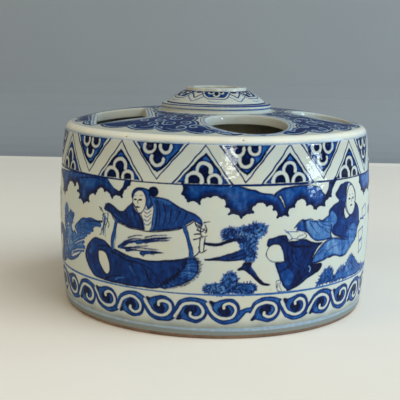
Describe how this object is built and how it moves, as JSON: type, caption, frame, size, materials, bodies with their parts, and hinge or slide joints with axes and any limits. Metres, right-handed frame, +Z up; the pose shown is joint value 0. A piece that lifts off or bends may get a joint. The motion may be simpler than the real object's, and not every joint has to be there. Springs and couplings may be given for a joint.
{
  "type": "brush and ink stand",
  "caption": "Drum-shaped porcelain stand for brushes and ink, with a pierced domed deck and a stepped collar with an open mouth.",
  "frame": {"origin": "on the surface that the stand rests on, under the middle of the drum", "axes": "+Z up through the mouth, -Y towards the large round opening's side, +X to the right of it"},
  "size_m": [0.1556, 0.1556, 0.1065],
  "materials": {
    "painted_glaze": "blue painting under a glossy clear glaze on greyish white",
    "white_glaze": "glossy, greyish white",
    "bare_clay": "unglazed, burnt orange-brown, matt"
  },
  "bodies": {
    "root": {"foot_ring": "bare_clay", "base_disc": "bare_clay", "drum_wall": "painted_glaze", "deck_plate": "painted_glaze", "collar_ring": "painted_glaze", "collar_dome": "painted_glaze", "mouth_lip": "white_glaze"}
  },
  "joints": []
}
